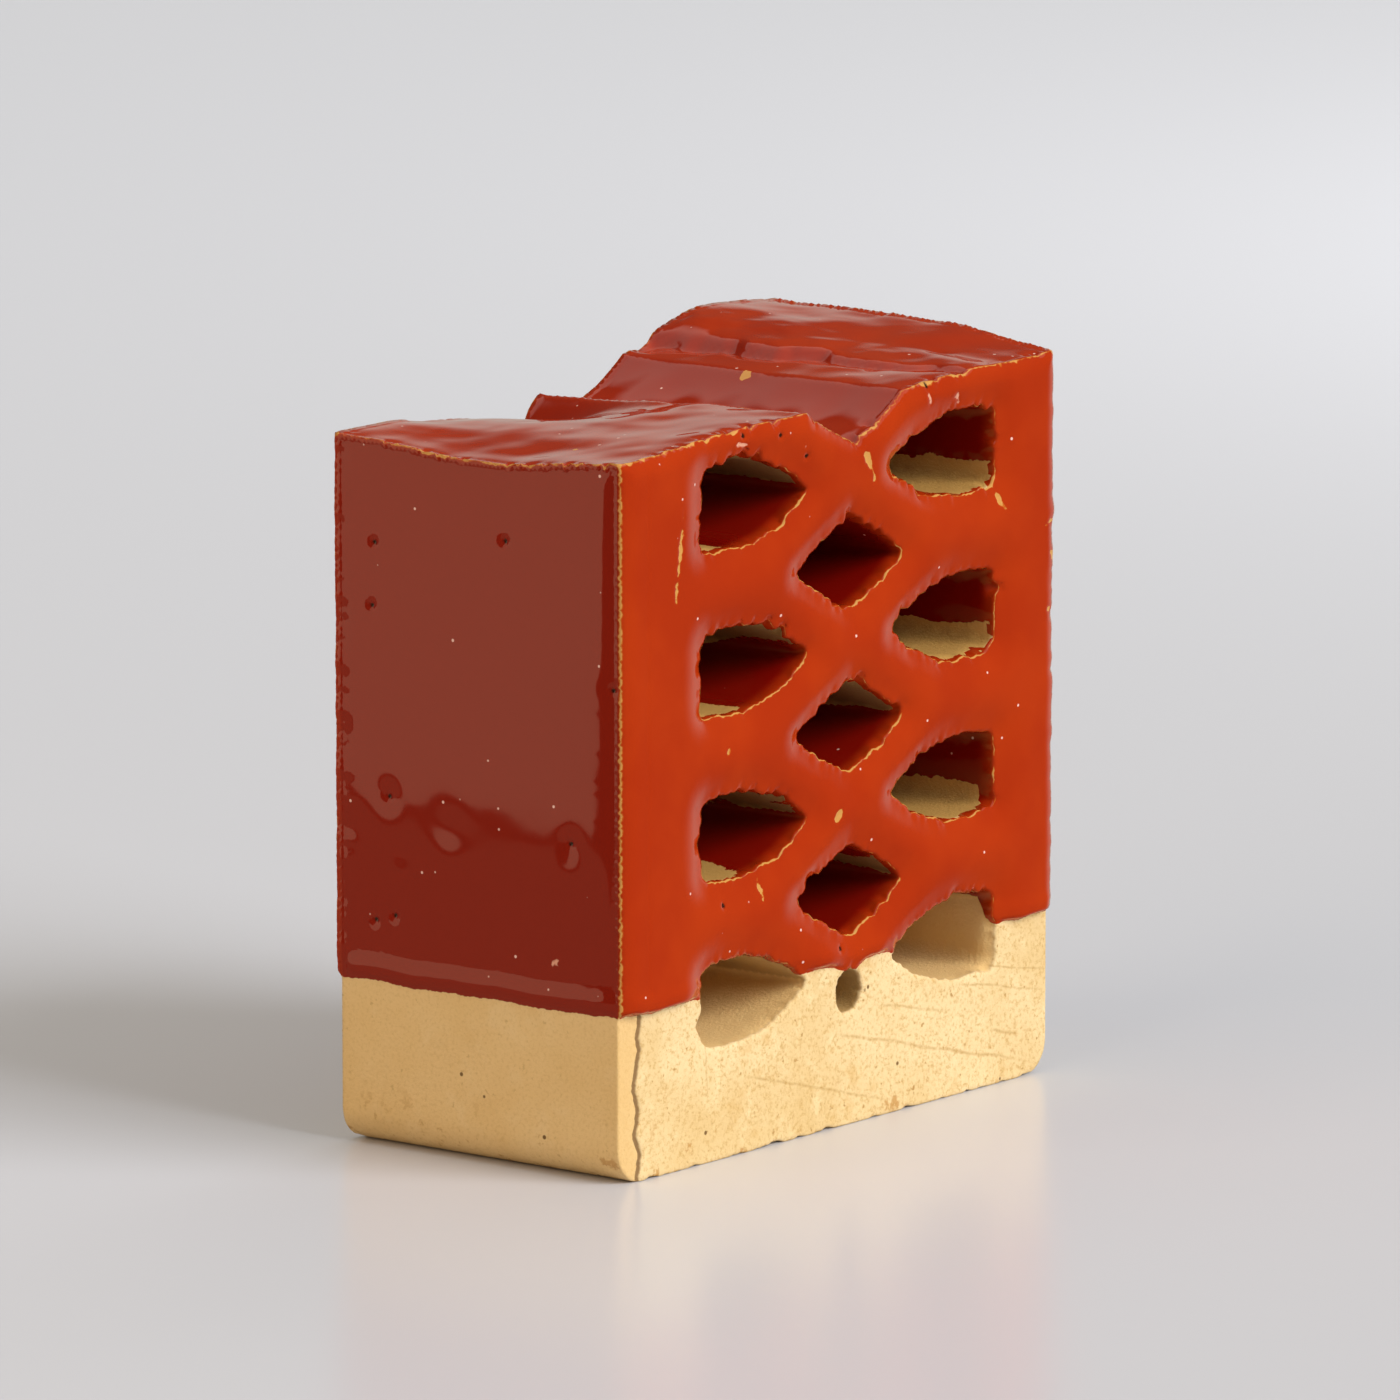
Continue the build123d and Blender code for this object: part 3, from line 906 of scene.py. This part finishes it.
def glaze_colour(tree, place, thin):
    """Red glaze: orange where it is thin over an arris or a chip, with grains, nicks painted pale pink as a
    painted glint, pinholes painted near black as painted shade, and a darker red painted as shade on the
    outer faces, the break's left-facing slopes and deep in the holes.
    """
    red = mix(tree, ramp(tree, noise_node(tree, place, RED_CLOUD_SIZE), *CLOUD_RANGE), *RED_COLOURS)
    # Painted shade: a darker red on the outer faces and on the break's slopes that turn left
    red = mix(tree, attribute(tree, "side"), red, OUTER_SHADE_RED)
    # Painted shade: the glaze turns a darker red deep in the holes
    red = mix(tree, ramp(tree, attribute(tree, "depth"), *HOLE_SHADE_DEPTHS), red, HOLE_SHADE_RED)
    red = mix(tree, dots(tree, place, PALE_SPACING, *PALE_RADII), red, PALE_COLOUR)
    for shows, colour in THIN_STEPS:
        red = mix(tree, ramp(tree, thin, *shows), red, colour)
    # Painted glint: the nicks and the left face's chip are painted pale pink
    red = mix(tree, ramp(tree, attribute(tree, "nick"), *NICK_GLINT_RANGE, 1.0, 0.0), red, NICK_GLINT_COLOUR)
    # Painted shade: the pinholes are painted near black
    return mix(tree, ramp(tree, attribute(tree, "pinhole"), *PINHOLE_SHADE_RANGE), red, PINHOLE_SHADE_COLOUR)


# Edges of the glaze in millimetres: how far fine noise moves them, and how soft they are
FINE_SIZE = 0.9
DIP_WAVER, BARE_WAVER, WORN_WAVER = 0.09, 0.06, 0.06
DIP_EDGE, BARE_EDGE, WORN_EDGE = (-0.06, 0.06), (-0.03, 0.03), (-0.12, 0.14)
CLAY_ROUGHNESS, GLAZE_ROUGHNESS, GLAZE_IOR = 0.85, 0.03, 1.55
WORN_RANGE, WORN_ROUGHNESS = (0.2, 0.9), 0.35
# Sandy grain of the bare clay: size in millimetres and detail of its two noises, strength and height
SAND_NOISES, SAND_STRENGTH, SAND_HEIGHT = ((0.5, 4.0), (3.0, 3.0)), 0.4, 0.3


def brick_material():
    """Clay, under glaze that ends at the dip line and at bare patches in the holes."""
    made, tree, shader = new_material("glazed_clay")
    place = add(tree, "ShaderNodeTexCoord").outputs["Object"]
    fine = noise_node(tree, place, FINE_SIZE)
    dipped = ramp(tree, wavered(tree, attribute(tree, "above"), fine, DIP_WAVER), *DIP_EDGE)
    covered = ramp(tree, wavered(tree, attribute(tree, "bare"), fine, BARE_WAVER), *BARE_EDGE, 1.0, 0.0)
    glaze = math_node(tree, "MULTIPLY", dipped, covered)
    thin = ramp(tree, wavered(tree, attribute(tree, "worn"), fine, WORN_WAVER), *WORN_EDGE, 1.0, 0.0)
    colour = mix(tree, glaze, clay_colour(tree, place, fine), glaze_colour(tree, place, thin))
    roughness = ramp(tree, glaze, 0.0, 1.0, CLAY_ROUGHNESS, GLAZE_ROUGHNESS)
    roughness = math_node(tree, "ADD", roughness, ramp(tree, thin, *WORN_RANGE, 0.0, WORN_ROUGHNESS))
    sand = math_node(tree, "ADD", *(noise_node(tree, place, *settings) for settings in SAND_NOISES))
    height = math_node(tree, "MULTIPLY", sand, ramp(tree, glaze, 0.0, 1.0, 1.0, 0.0))
    inputs = {"Strength": SAND_STRENGTH, "Distance": SAND_HEIGHT / PER_METRE, "Height": height}
    bump = add(tree, "ShaderNodeBump", inputs)
    tree.links.new(colour, shader.inputs["Base Color"])
    tree.links.new(roughness, shader.inputs["Roughness"])
    tree.links.new(bump.outputs[0], shader.inputs["Normal"])
    shader.inputs["IOR"].default_value = GLAZE_IOR
    return made


mesh.materials.append(brick_material())


def plane(name, corners, material):
    """A flat sheet of the studio, which is not part of the object."""
    sheet = bpy.data.meshes.new(name)
    sheet.from_pydata(corners, [], [tuple(range(len(corners)))])
    sheet.materials.append(material)
    made = bpy.data.objects.new(name, sheet)
    bpy.context.scene.collection.objects.link(made)
    return made


# The studio in metres: a pale floor that stays out of the gloss
FLOOR_REACH = 6.0
FLOOR_COLOUR, FLOOR_ROUGHNESS, FLOOR_SPECULAR = (0.600, 0.617, 0.680, 1), 0.24, 0.4
floor_material, _, floor_shader = new_material("pale_floor")
floor_shader.inputs["Base Color"].default_value = FLOOR_COLOUR
floor_shader.inputs["Roughness"].default_value = FLOOR_ROUGHNESS
floor_shader.inputs["Specular IOR Level"].default_value = FLOOR_SPECULAR
floor_corners = [(a * FLOOR_REACH, b * FLOOR_REACH, 0) for a, b in ((-1, -1), (1, -1), (1, 1), (-1, 1))]
floor = plane("floor", floor_corners, floor_material)
floor.visible_glossy = False

# Two cards at the back left that show only in the gloss: corners (y, z) and tint
CARD_X, CARD_NEAR_Y, CARD_TOP_Y, CARD_FAR_Y = -0.543, 0.3688, 0.08, 1.1
CARD_REACH, CARD_EDGE_Z, CARD_GAP = 0.8, -0.0705, 0.0035
CARD_LOW_Z = CARD_EDGE_Z - CARD_GAP
PALE_CORNERS = (
    (CARD_NEAR_Y, CARD_EDGE_Z), (CARD_FAR_Y, CARD_EDGE_Z), (CARD_FAR_Y, CARD_REACH), (CARD_TOP_Y, CARD_REACH),
)
DIM_CORNERS = (
    (CARD_TOP_Y, CARD_LOW_Z), (CARD_FAR_Y, CARD_LOW_Z), (CARD_FAR_Y, -CARD_REACH), (CARD_TOP_Y, -CARD_REACH),
)
CARDS = {
    "pale_card": (PALE_CORNERS, (1.0, 0.68, 0.46, 1)),
    "dim_card": (DIM_CORNERS, (0.34, 0.22, 0.15, 1)),
}


def card(name, corners, tint):
    """A sheet of even light at the back left."""
    made, _, shader = new_material(name)
    shader.inputs["Base Color"].default_value = (0, 0, 0, 1)
    shader.inputs["Specular IOR Level"].default_value = 0.0
    shader.inputs["Emission Color"].default_value = tint
    shader.inputs["Emission Strength"].default_value = 1.0
    made.cycles.emission_sampling = "NONE"
    sheet = plane(name, [(CARD_X, y, z) for y, z in corners], made)
    sheet.visible_camera = False
    sheet.visible_diffuse = False
    sheet.visible_shadow = False


for name, (corners, tint) in CARDS.items():
    card(name, corners, tint)

# Surrounding light by direction: dim in front, pale above and at the back right
SKY_TINT = (1.0, 0.955, 0.85, 1)
DOME_HEIGHTS, DOME_STRENGTHS = (0.66, 0.74), (0.06, 0.70)
GLOW_TOWARDS, GLOW_SPREAD, GLOW_HEIGHTS, GLOW_STRENGTH = (0.789, 0.615, 0), (0.35, 0.75), (0.15, 0.36), 0.44
world = bpy.data.worlds.new("studio")
world.use_nodes = True
sky = world.node_tree
direction = add(sky, "ShaderNodeTexCoord").outputs["Generated"]
height = height_of(sky, direction)
back_right = vector_node(sky, "DOT_PRODUCT", direction, GLOW_TOWARDS, "Value")
side_glow = ramp(sky, back_right, *GLOW_SPREAD, 0.0, GLOW_STRENGTH)
side_glow = math_node(sky, "MULTIPLY", side_glow, ramp(sky, height, *GLOW_HEIGHTS, 1.0, 0.0))
glow = math_node(sky, "ADD", ramp(sky, height, *DOME_HEIGHTS, *DOME_STRENGTHS), side_glow)
background = sky.nodes["Background"]
background.inputs["Color"].default_value = SKY_TINT
sky.links.new(glow, background.inputs["Strength"])
bpy.context.scene.world = world
bpy.context.scene.view_settings.view_transform = "Standard"

# Broad soft key light from the front, a little to the right
KEY_TOWARDS, KEY_STRENGTH, KEY_ANGLE = Vector((0.15, -0.86, 0.49)), 3.8, math.radians(40)
key_lamp = bpy.data.lights.new("key", "SUN")
key_lamp.energy = KEY_STRENGTH
key_lamp.angle = KEY_ANGLE
key = bpy.data.objects.new("key", key_lamp)
key.rotation_mode = "QUATERNION"
key.rotation_quaternion = KEY_TOWARDS.to_track_quat("Z", "Y")
key.visible_glossy = False
bpy.context.scene.collection.objects.link(key)

# Area lights that stay out of the gloss: place, target, size, power and tint
LIGHTS = {
    "fill": ((-1.3, 0.2, 0.7), (0, 0, 0.05), 1.2, 9.8, (1.0, 0.77, 0.53)),
    "far": ((1.35, 0.48, 1.1), (1.35, 0.48, 0), 1.0, 5.2, (1.0, 1.0, 1.0)),
    "far_right": ((0.98, 0.13, 0.35), (0.98, 0.13, 0), 0.3, 1.8, (1.0, 1.0, 1.0)),
}
for name, (place, target, size, power, tint) in LIGHTS.items():
    lamp = bpy.data.lights.new(name, "AREA")
    lamp.size = size
    lamp.energy = power
    lamp.color = tint
    light = bpy.data.objects.new(name, lamp)
    light.location = place
    light.rotation_mode = "QUATERNION"
    light.rotation_quaternion = (Vector(target) - Vector(place)).to_track_quat("-Z", "Y")
    light.visible_glossy = False
    bpy.context.scene.collection.objects.link(light)

# Camera fitted to the photograph's edges: lengths in metres, and a focal length in pixels of the frame
CAMERA_TURN, CAMERA_PITCH, CAMERA_RANGE = math.radians(-52.08), math.radians(10.16), 1.711
CAMERA_AIM = Vector((0.00012, -0.00015, 0.05901))
SENSOR_WIDTH, FOCAL_PIXELS, FRAME_PIXELS, CLIP_END = 36.0, 12000, 1400, 50.0
lens = bpy.data.cameras.new("camera")
lens.sensor_width = SENSOR_WIDTH
lens.lens = SENSOR_WIDTH * FOCAL_PIXELS / FRAME_PIXELS
lens.clip_end = CLIP_END
camera = bpy.data.objects.new("camera", lens)
level = math.cos(CAMERA_PITCH)
back = Vector((math.sin(CAMERA_TURN) * level, -math.cos(CAMERA_TURN) * level, math.sin(CAMERA_PITCH)))
camera.location = CAMERA_AIM + back * CAMERA_RANGE
camera.rotation_mode = "QUATERNION"
camera.rotation_quaternion = (-back).to_track_quat("-Z", "Y")
bpy.context.scene.collection.objects.link(camera)
bpy.context.scene.camera = camera
